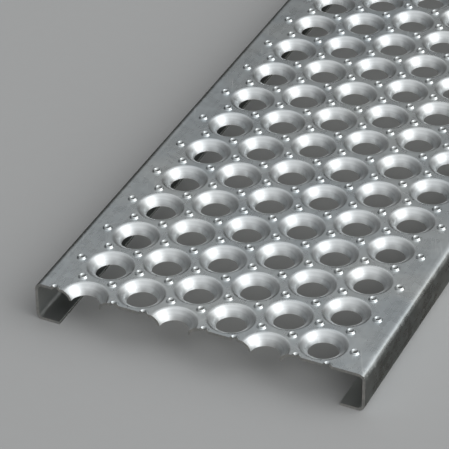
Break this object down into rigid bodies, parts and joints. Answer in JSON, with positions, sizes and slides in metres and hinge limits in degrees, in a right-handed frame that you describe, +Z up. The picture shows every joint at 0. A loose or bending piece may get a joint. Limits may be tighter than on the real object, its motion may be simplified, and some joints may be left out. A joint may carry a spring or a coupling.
{
  "type": "perforated scaffold plank",
  "caption": "Straight channel-shaped walking plank formed from one galvanised steel sheet, with staggered flared grip holes, raised pierced buttons and inturned bottom flanges.",
  "frame": {"origin": "middle of the plank's width and length, on the plane of the flange undersides that the plank rests on", "axes": "+X across the plank, +Y along its length, +Z up out of the walking face"},
  "size_m": [0.3048, 1.524, 0.0401],
  "materials": {
    "galvanised_sheet": "satin hot-dip galvanised sheet with sheared edges"
  },
  "bodies": {
    "root": {"perforated_deck": "galvanised_sheet", "left_side_web": "galvanised_sheet", "right_side_web": "galvanised_sheet", "left_bottom_flange": "galvanised_sheet", "right_bottom_flange": "galvanised_sheet"}
  },
  "joints": []
}
